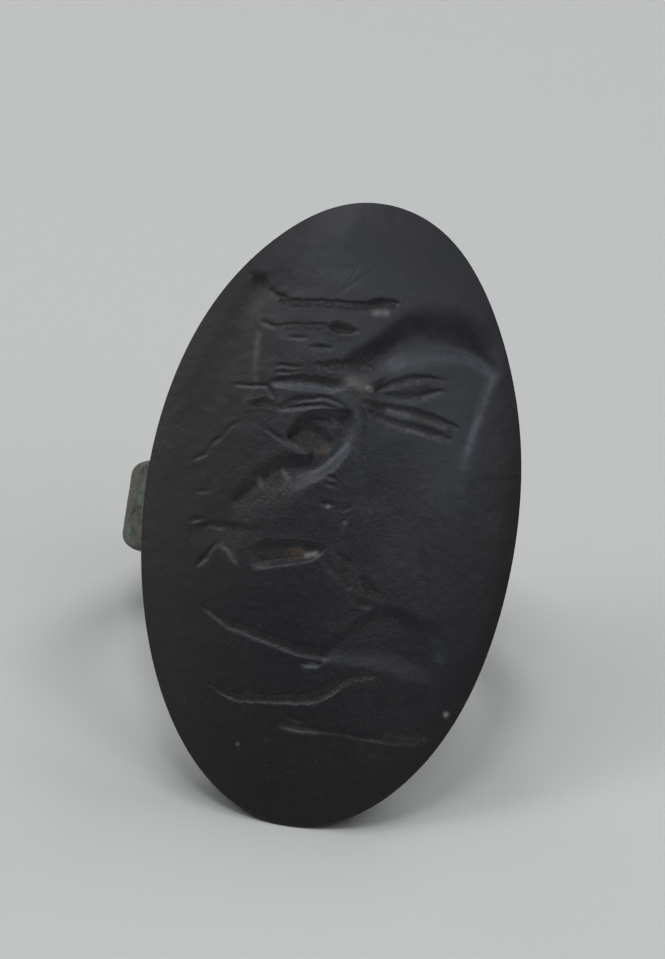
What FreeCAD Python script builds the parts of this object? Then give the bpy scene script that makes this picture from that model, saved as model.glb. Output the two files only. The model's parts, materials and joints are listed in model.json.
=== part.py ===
import FreeCAD, Part

import math
import os

# A finger ring of dark copper alloy: a large oval bezel with a cut design of a cow and her calf, on a
# plain hoop. It stands as it rests on a table, leaning back on the foot of its bezel and the back of its
# hoop. Each piece is drawn upright first, with X across the bezel, Z along it, the engraved face
# towards -Y and the hoop behind at +Y, and y = 0 at the bezel's widest line. Lengths are in millimetres.

# Bezel
bezel_width = 16.0
bezel_length = 27.0
face_crown = 1.15  # rise of the domed face over the widest line
bevel_width = 0.55  # narrow bevel all round the face
bevel_height = 0.3
rim_band = 0.2  # narrow upright edge at the widest line
plate_depth = 1.3  # engraved plate, from the widest line back
plate_taper = 0.6  # how far its underside draws in
solder_layer_depth = 0.2
solder_layer_inset = 0.15
backing_depth = 1.4
backing_taper = 1.5

# Hoop
bore_radius = 7.4
hoop_wall = 1.2
band_width = 3.8
outer_corner = 0.6
inner_corner = 0.15
finger_gap = 0.15  # the bezel's back stays this far clear of the finger
joint_gap = 0.4  # between the strip's two ends, under the bezel

# Solder beads in the shoulders, and how the hoop is seated
seat_clearance = 0.05
bead_reach = 1.7  # along the bezel's back, from where the hoop meets it
bead_angle = 38.0  # how far up the hoop the bead climbs, in degrees from its front
bead_sag = 0.12  # hollow of the bead's free side
bead_overhang = 0.3  # past each edge of the band

# Worn spots that the ring stands on
standing_wear = 0.05

# The design was drawn on a face of this size, and stretches with the bezel
design_width = 16.0
design_length = 27.0
relief_step = 0.25  # between the places at which the cut face is worked out

# Hollows of the design: across, along, half of one side, half of the other, turn of the sides from the
# bezel's own in degrees, and depth
HOLLOWS = [
    (3.3, 7.75, 2.55, 1.7, -8, 0.62),  # shoulder
    (3.35, 5.2, 2.3, 1.35, -8, 0.3),  # neck
    (3.2, 1.0, 1.95, 4.6, -4, 0.42),  # trunk
    (3.6, -5.3, 1.75, 1.75, 0, 0.5),  # haunch
    (0.35, 6.3, 0.8, 0.95, 0, 0.35),  # brow
    (-1.45, 3.05, 1.25, 0.8, 8, 0.5),  # calf's shoulder
    (-2.8, 0.95, 1.6, 1.15, -30, 0.32),  # calf's trunk
    (-1.75, -2.05, 1.25, 0.55, 12, 0.45),  # calf's haunch
]

# Grooves of the design: width, depth and the points that each runs through, across and along
GROOVES = [
    (0.75, 0.3, [(-3.3, 5.75), (-1.9, 5.7), (-0.3, 5.8)]),  # muzzle
    (0.6, 0.3, [(-4.55, 9.35), (-3.6, 8.75), (-2.1, 8.7), (1.15, 9.05)]),  # raised foreleg
    (0.55, 0.25, [(-4.85, 7.6), (-3.5, 7.6), (-2.0, 7.85), (-0.55, 7.75)]),  # second foreleg
    (0.5, 0.18, [(-4.4, 7.35), (-4.05, 4.95)]),  # ground line
    (0.55, 0.3, [(0.6, 4.9), (4.85, 4.2)]),  # fold of the neck
    (0.5, 0.25, [(0.85, 4.35), (4.8, 3.7)]),  # lower fold
    (0.5, 0.22, [(1.25, 5.4), (2.05, 5.95), (3.05, 6.15), (4.05, 6.1)]),  # upper fold
    (0.5, 0.2, [(-2.95, 4.1), (-2.1, 4.5), (-1.0, 4.7), (-0.25, 4.6)]),  # calf's ear
    (0.5, 0.18, [(-3.8, 3.4), (-4.9, 2.65), (-6.1, 1.5)]),  # calf's foreleg
    (0.6, 0.3, [(-5.75, -1.65), (-5.5, -3.1), (-4.9, -2.2)]),  # calf's hoof
    (0.5, 0.22, [(-4.75, -2.1), (-3.8, -2.7), (-2.95, -1.75)]),  # calf's hind leg
    (0.6, 0.28, [(-0.1, -2.45), (1.0, -3.05), (1.7, -3.95)]),  # udder
    (0.5, 0.25, [(1.4, -2.65), (2.2, -3.4), (2.8, -3.35)]),  # belly
    (0.6, 0.3, [(1.4, -6.15), (-0.05, -6.55), (-2.5, -5.85), (-3.85, -5.6), (-5.15, -4.6)]),  # hind leg
    (0.55, 0.25, [(2.7, -6.8), (1.0, -7.35), (-0.6, -8.2), (-3.3, -8.35), (-4.6, -7.6)]),  # far hind leg
    (0.5, 0.22, [(5.2, -9.0), (2.95, -9.4), (-1.15, -9.2)]),  # tail
]

# Worked out from the sizes above
half_width = bezel_width / 2
half_length = bezel_length / 2
stretch = bezel_length / bezel_width
face_radius = half_width - bevel_width
plate_radius = half_width - plate_taper
layer_radius = plate_radius - solder_layer_inset
layer_back = plate_depth + solder_layer_depth
bezel_depth = layer_back + backing_depth
hoop_radius = bore_radius + hoop_wall
hoop_centre = bezel_depth + finger_gap + bore_radius
half_band = band_width / 2
dome_rise = face_crown - bevel_height
bevel_slope = (bevel_height - rim_band / 2) / bevel_width
tight_radius = (face_radius**2 + dome_rise**2) / (2 * dome_rise)
slack_radius = ((stretch * face_radius) ** 2 + dome_rise**2) / (2 * dome_rise)
origin = FreeCAD.Vector(0, 0, 0)
axis_across = FreeCAD.Vector(1, 0, 0)
axis_along = FreeCAD.Vector(0, 0, 1)


def line(a, b):
    return Part.LineSegment(FreeCAD.Vector(*a), FreeCAD.Vector(*b)).toShape()


def arc(a, middle, b):
    points = [FreeCAD.Vector(*p) for p in (a, middle, b)]
    return Part.Arc(*points).toShape()


def oval(radius, depth):
    """The bezel's outline drawn in to this half width, at a depth."""
    middle = FreeCAD.Vector(0, depth, 0)
    ellipse = Part.Ellipse(middle + axis_along * radius * stretch, middle + axis_across * radius, middle)
    return Part.Wire(ellipse.toShape())


def oval_solid(levels):
    """A stack of tapering slices, given the half width and the depth at each level from front to back."""
    slices = []
    for (front_radius, front), (back_radius, back) in zip(levels, levels[1:]):
        slices.append(Part.makeLoft([oval(front_radius, front), oval(back_radius, back)], True, True))
    return slices[0].fuse(slices[1:]) if len(slices) > 1 else slices[0]


def face_depth(across, along):
    """Depth of the uncut face at a place on it, less than zero because it stands over the widest line."""
    reach = slack_radius - tight_radius + math.sqrt(tight_radius**2 - across**2)
    return slack_radius - face_crown - math.sqrt(reach**2 - along**2)


def hollow_depth(across, along, hollow):
    """How deep a hollow is at a place: its full depth in the middle, and none past its sides."""
    centre_across, centre_along, half_a, half_b, turn, depth = hollow
    sine = math.sin(math.radians(turn))
    cosine = math.cos(math.radians(turn))
    dx = across - centre_across
    dz = along - centre_along
    spread = ((dx * cosine + dz * sine) / half_a) ** 2 + ((dz * cosine - dx * sine) / half_b) ** 2
    return depth * max(0.0, 1 - spread**2)


def groove_depth(across, along, groove):
    """How deep a groove is at a place, from how far the place lies from the groove's line."""
    width, depth, points = groove
    nearest = width
    for (ax, az), (bx, bz) in zip(points, points[1:]):
        length = math.hypot(bx - ax, bz - az)
        share = ((across - ax) * (bx - ax) + (along - az) * (bz - az)) / length**2
        share = min(1.0, max(0.0, share))
        nearest = min(nearest, math.hypot(across - ax - share * (bx - ax), along - az - share * (bz - az)))
    return depth * max(0.0, 1 - (2 * nearest / width) ** 2)


def cut_depth(across, along):
    """How deep the design is cut at a place on this bezel."""
    x = across * design_width / bezel_width
    z = along * design_length / bezel_length
    depths = [hollow_depth(x, z, hollow) for hollow in HOLLOWS]
    depths += [groove_depth(x, z, groove) for groove in GROOVES]
    return max(depths)


def spread_evenly(half_size):
    """Places about a relief step apart, from one side of the bezel to the other and a little past both."""
    steps = 2 * math.ceil(half_size / relief_step) + 2
    return [(2 * n / steps - 1) * (half_size + relief_step) for n in range(steps + 1)]


def clamped_knots(count):
    """Knots and how often each counts, for a cubic surface with this many poles along one side."""
    knots = list(range(count - 2))
    return knots, [4] + [1] * (count - 4) + [4]


def relief_block(deep):
    """A block behind the domed face, with the design cut into it."""
    rows = spread_evenly(half_width)
    columns = spread_evenly(half_length)
    poles = []
    for across in rows:
        depths = [face_depth(across, along) + cut_depth(across, along) for along in columns]
        poles.append([FreeCAD.Vector(across, depth, along) for depth, along in zip(depths, columns)])
    knots_across, counts_across = clamped_knots(len(rows))
    knots_along, counts_along = clamped_knots(len(columns))
    surface = Part.BSplineSurface()
    surface.buildFromPolesMultsKnots(
        poles, counts_across, counts_along, knots_across, knots_along, False, False, 3, 3
    )
    return surface.toShape().extrude(FreeCAD.Vector(0, deep, 0))


def engraved_face():
    """The domed plate, with its bevel and a taper underneath, and the design cut into it."""
    half_rim = rim_band / 2
    top_radius = half_width - (face_crown + bevel_height) / bevel_slope
    levels = [
        (top_radius, -face_crown - bevel_height - half_rim),
        (half_width, -half_rim),
        (half_width, half_rim),
        (plate_radius, plate_depth),
    ]
    return oval_solid(levels).common(relief_block(2 * face_crown + 2 * plate_depth))


def face_solder_layer():
    return oval_solid([(layer_radius, plate_depth), (layer_radius, layer_back)])


def corner(depth, along, radius, start):
    """A quarter turn about a centre in the plane across = 0, from the start angle on."""
    angles = [math.radians(start + turn) for turn in (0, 45, 90)]
    return arc(*[(0, depth + radius * math.cos(a), along + radius * math.sin(a)) for a in angles])


def closed_hoop():
    """The band's section, flat inside with its outer corners rounded, turned round the finger."""
    front = hoop_centre - hoop_radius + outer_corner
    back = hoop_centre - bore_radius - inner_corner
    corners = [
        corner(back, half_band - inner_corner, inner_corner, 0),
        corner(front, half_band - outer_corner, outer_corner, 90),
        corner(front, outer_corner - half_band, outer_corner, 180),
        corner(back, inner_corner - half_band, inner_corner, 270),
    ]
    edges = []
    for one, following in zip(corners, corners[1:] + corners[:1]):
        edges += [one, Part.makeLine(one.lastVertex().Point, following.firstVertex().Point)]
    section = Part.Face(Part.Wire(edges))
    return section.revolve(FreeCAD.Vector(0, hoop_centre, 0), axis_along, 360)


def joint_block():
    """The space between the strip's two ends."""
    low_corner = FreeCAD.Vector(-joint_gap / 2, 0, -band_width)
    return Part.makeBox(joint_gap, hoop_centre, 2 * band_width, low_corner)


def bezel_back():
    """The backing plate, its edge sloped in two steps, with a channel for the hoop's front."""
    levels = [
        (layer_radius, layer_back),
        (layer_radius - backing_taper / 3, layer_back + backing_depth / 2),
        (layer_radius - backing_taper, bezel_depth),
    ]
    half_channel = half_band + seat_clearance
    start = FreeCAD.Vector(0, hoop_centre, -half_channel)
    channel = Part.makeCylinder(hoop_radius + seat_clearance, 2 * half_channel, start, axis_along)
    return oval_solid(levels).cut(channel)


def shoulder_solder(side, hoop):
    """The bead that fills the wedge between the hoop and the bezel's back, on one side."""
    meeting = math.sqrt(hoop_radius**2 - (hoop_centre - bezel_depth) ** 2)
    angle = math.radians(bead_angle)
    middle_radius = hoop_radius - hoop_wall / 2
    low = -half_band - bead_overhang
    inner = (side * (meeting - hoop_wall / 2), bezel_depth, low)
    toe = (side * (meeting + bead_reach), bezel_depth, low)
    top = (side * hoop_radius * math.sin(angle), hoop_centre - hoop_radius * math.cos(angle), low)
    sunk = (side * middle_radius * math.sin(angle), hoop_centre - middle_radius * math.cos(angle), low)
    sag = ((toe[0] + top[0]) / 2 - side * bead_sag, (toe[1] + top[1]) / 2 - bead_sag / 2, low)
    outline = Part.Wire([line(inner, toe), arc(toe, sag, top), line(top, sunk), line(sunk, inner)])
    bead = Part.Face(outline).extrude(FreeCAD.Vector(0, 0, band_width + 2 * bead_overhang))
    return bead.cut(hoop)


def lean_angle():
    """How far the ring leans back, in degrees, with the bezel's foot and the hoop's back on the table."""

    def foot_less_hoop(lean):
        sine = math.sin(lean)
        cosine = math.cos(lean)
        foot = half_length * cosine + rim_band / 2 * sine
        back = hoop_centre + hoop_radius - outer_corner
        hoop = back * sine + (half_band - outer_corner) * cosine + outer_corner
        return foot - hoop

    low = 0.0
    high = math.pi / 2
    for _ in range(60):
        middle = (low + high) / 2
        if foot_less_hoop(middle) > 0:
            low = middle
        else:
            high = middle
    return math.degrees(low)


def stood_up(shapes):
    """Leans the ring back, centres it on z = 0 and wears away the two spots it stands on."""
    lean = lean_angle()
    for shape in shapes.values():
        shape.rotate(origin, axis_across, -lean)
    box = Part.makeCompound(list(shapes.values())).optimalBoundingBox(False, False)
    shift = FreeCAD.Vector(0, -(box.YMin + box.YMax) / 2, -box.ZMin - standing_wear)
    for shape in shapes.values():
        shape.translate(shift)
    size = bezel_length + 2 * hoop_radius
    table = Part.makeBox(size * 2, size * 2, size, FreeCAD.Vector(-size, -size, -size))
    for name in ("engraved_face", "hoop_band"):
        shapes[name] = shapes[name].cut(table)
    return shapes


def main():
    ring = closed_hoop()
    hoop = ring.cut(joint_block())
    shapes = {
        "engraved_face": engraved_face(),
        "face_solder_layer": face_solder_layer(),
        "bezel_back": bezel_back(),
        "hoop_band": hoop,
        "hoop_joint_solder": ring.common(joint_block()),
        "left_shoulder_solder": shoulder_solder(-1, hoop),
        "right_shoulder_solder": shoulder_solder(1, hoop),
    }
    os.makedirs("parts", exist_ok=True)
    for name, shape in stood_up(shapes).items():
        shape.exportStep("parts/" + name + ".step")


main()
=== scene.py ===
import json
import math

import bmesh
import bpy
import numpy as np
from mathutils import Matrix, Vector, noise


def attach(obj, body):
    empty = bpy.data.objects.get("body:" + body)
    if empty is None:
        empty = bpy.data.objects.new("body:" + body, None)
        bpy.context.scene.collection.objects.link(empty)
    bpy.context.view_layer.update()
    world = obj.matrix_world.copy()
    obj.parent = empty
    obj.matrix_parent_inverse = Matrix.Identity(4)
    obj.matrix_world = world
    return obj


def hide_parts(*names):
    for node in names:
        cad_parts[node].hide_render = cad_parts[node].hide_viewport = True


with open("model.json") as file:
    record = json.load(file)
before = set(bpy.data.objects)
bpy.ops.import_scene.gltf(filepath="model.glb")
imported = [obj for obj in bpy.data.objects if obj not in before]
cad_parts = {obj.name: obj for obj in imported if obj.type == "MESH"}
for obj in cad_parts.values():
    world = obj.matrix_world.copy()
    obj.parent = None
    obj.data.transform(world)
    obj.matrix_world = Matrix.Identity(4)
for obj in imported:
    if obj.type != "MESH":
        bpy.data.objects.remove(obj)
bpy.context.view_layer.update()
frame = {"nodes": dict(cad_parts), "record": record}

# The ring is worked out in millimetres about the middle of its bore: X across the bezel, Y away from the
# engraved face and Z along the bezel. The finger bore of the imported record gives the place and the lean.
MM = 0.001
bore = next(m for m in frame["record"]["mounts"] if m["name"] == "finger_bore")
BORE_RADIUS = bore["dims"]["r_mm"]
ALONG = Vector(bore["axis"]).normalized()
ACROSS = Vector((1.0, 0.0, 0.0))
BACKWARD = ALONG.cross(ACROSS)
TO_WORLD = Matrix((ACROSS, BACKWARD, ALONG)).transposed() * MM
BORE_PLACE = Vector(bore["pos_m"])
TO_RING = TO_WORLD.inverted()


def ring_box(node):
    """Lowest and highest corner of a CAD node, in the ring's own directions and millimetres."""
    places = np.array([TO_RING @ (v.co - BORE_PLACE) for v in frame["nodes"][node].data.vertices])
    return Vector(places.min(0)), Vector(places.max(0))


# Bezel
face_low, face_high = ring_box("engraved_face")
HALF_WIDTH = face_high.x
HALF_LENGTH = face_high.z
FACE_CROWN = 1.15
BEVEL_WIDTH = 0.55
BEVEL_HEIGHT = 0.3
RIM_BAND = 0.2
CREASE_ROUNDING = 0.035  # where the dome runs into the bevel
PLATE_TAPER = 0.6
WIDEST = face_low.y + FACE_CROWN
PLATE_DEPTH = face_high.y - WIDEST

# Hoop
hoop_high = ring_box("hoop_band")[1]
HOOP_RADIUS = hoop_high.x
HALF_BAND = hoop_high.z
OUTER_CORNER = 0.6
INNER_CORNER = 0.15
JOINT_GAP = 0.4

# Worked out from the sizes above
STRETCH = HALF_LENGTH / HALF_WIDTH
FACE_RADIUS = HALF_WIDTH - BEVEL_WIDTH
DOME_RISE = FACE_CROWN - BEVEL_HEIGHT
TIGHT_RADIUS = (FACE_RADIUS**2 + DOME_RISE**2) / (2 * DOME_RISE)
SLACK_RADIUS = ((STRETCH * FACE_RADIUS) ** 2 + DOME_RISE**2) / (2 * DOME_RISE)

# Places where the worn outline leaves the oval: angle from the +X end in degrees, half spread, and how far
OUTLINE_WEAR = [
    (121, 22, -0.14), (66, 18, 0.1), (34, 16, -0.04), (170, 26, 0.08), (-35, 22, 0.05), (-8, 22, -0.05)]

# Hollows of the design: depth, how soft it is, and the outline as across, along and width of the wall
HOLLOWS = {
    "shoulder": (0.27, 0.07, [
        (5.8, 6.7, 0.8), (6.35, 7.5, 1.5), (6.15, 8.6, 1.9), (4.8, 9.45, 1.9), (3.4, 9.65, 1.9),
        (2.1, 9.3, 1.6), (1.25, 8.6, 1.3), (0.65, 7.85, 1.1), (0.1, 7.3, 0.9), (-0.35, 6.9, 0.8),
        (-0.6, 6.4, 0.8), (-0.35, 6, 0.6), (0.4, 5.8, 0.55), (1.1, 5.75, 0.8), (1.75, 5.95, 0.95),
        (2.4, 6.4, 1), (3.1, 6.75, 0.9), (4, 6.98, 0.7), (5, 6.95, 0.7)]),
    "body": (0.12, 0.05, [
        (0.8, 5.3, 0.4), (1.1, 6.4, 0.6), (1.6, 7.6, 0.8), (2.6, 8.4, 0.9), (4, 8.7, 0.9),
        (5.3, 8.4, 0.8), (6.15, 7.6, 0.6), (6.25, 6.8, 0.5), (6.06, 6, 0.48), (5.92, 5.2, 0.46),
        (5.78, 4.4, 0.48), (5.64, 3.4, 0.6), (5.6, 2.4, 1.1), (5.6, 1, 1.8), (5.7, -1, 2.6),
        (5.6, -2.8, 3.2), (4.8, -4.4, 3.6), (3.4, -4.3, 3.6), (2.75, -3.3, 3.2), (2.1, -2.1, 2.6),
        (1.6, -1.2, 1.8), (1.2, -0.2, 1.4), (0.92, 0.8, 1.1), (0.84, 1.9, 1.2), (0.78, 3, 1.2),
        (0.74, 4, 1.1), (0.72, 4.7, 0.8)]),
    "haunch": (0.09, 0.06, [
        (4.4, -3.7, 1.2), (3.4, -3.6, 0.7), (2.44, -3.8, 0.55), (1.65, -4.35, 0.5), (1.13, -4.8, 0.5),
        (0.5, -5.4, 0.5), (0.05, -5.95, 0.45), (0.25, -6.5, 0.5), (1, -6.55, 0.75), (2, -6.55, 0.9),
        (3, -6.6, 1), (4.2, -6.9, 1.4), (5.3, -6.9, 2), (6, -6, 2.6), (5.8, -4.8, 2.4), (5.2, -4, 1.8)]),
    "calf": (0.18, 0.035, [
        (-1.5, 2.2, 0.4), (-2.1, 2.22, 0.75), (-2.75, 2.1, 0.9), (-3.3, 1.78, 1), (-3.75, 1.3, 1.05),
        (-4.05, 0.8, 1.05), (-4.35, 0.3, 1), (-4.6, -0.4, 1.1), (-4.3, -1.2, 2.8), (-3.4, -1.5, 3.4),
        (-2.4, -1, 3), (-1.9, -0.1, 1.8), (-1.6, 0.4, 1.2), (-1.15, 0.85, 0.8), (-0.75, 1.2, 0.6),
        (-0.35, 1.6, 0.52), (0.05, 2.1, 0.5), (0.33, 2.6, 0.5), (0.46, 3.2, 0.55), (0.46, 3.8, 0.6),
        (0.25, 4.35, 0.6), (-0.15, 4.45, 0.6), (-0.6, 4.3, 0.5), (-1.15, 4.2, 0.45), (-1.7, 4, 0.4),
        (-2.1, 3.7, 0.4), (-2.4, 3.25, 0.5), (-2.5, 2.85, 0.5), (-2.2, 2.52, 0.3), (-1.5, 2.3, 0.3)]),
    "calf_head": (0.3, 0.05, [
        (-2.45, 2.85, 0.3), (-2.25, 3.2, 0.3), (-1.85, 3.53, 0.3), (-1.5, 3.62, 0.32),
        (-1.05, 3.5, 0.34), (-0.65, 3.3, 0.34), (-0.4, 2.95, 0.36), (-0.38, 2.6, 0.45),
        (-0.6, 2.25, 0.6), (-1, 2.08, 0.8), (-1.5, 2.2, 0.8), (-2.1, 2.48, 0.5)]),
    "calf_thigh": (0.22, 0.03, [
        (-0.25, -1.66, 0.2), (-1, -1.52, 0.26), (-2, -1.6, 0.26), (-2.9, -1.72, 0.5),
        (-3.5, -2.2, 1.2), (-3.1, -2.95, 0.7), (-2.06, -2.64, 0.26), (-1.37, -2.45, 0.24),
        (-0.65, -2.18, 0.22)]),
}

# Edges that drop on one side only, on the left as one goes along them with the face in front: how soft, how
# wide the drop is, and across, along, reach and depth at each point
SCARPS = {
    "calf_rump": (0.03, 0.2, [
        (-3.4, -1.1, 1, 0.02), (-3.9, -1.05, 1.6, 0.05), (-4.5, -1.15, 1.8, 0.06),
        (-5.1, -1.28, 1.2, 0.05)]),
}

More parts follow.
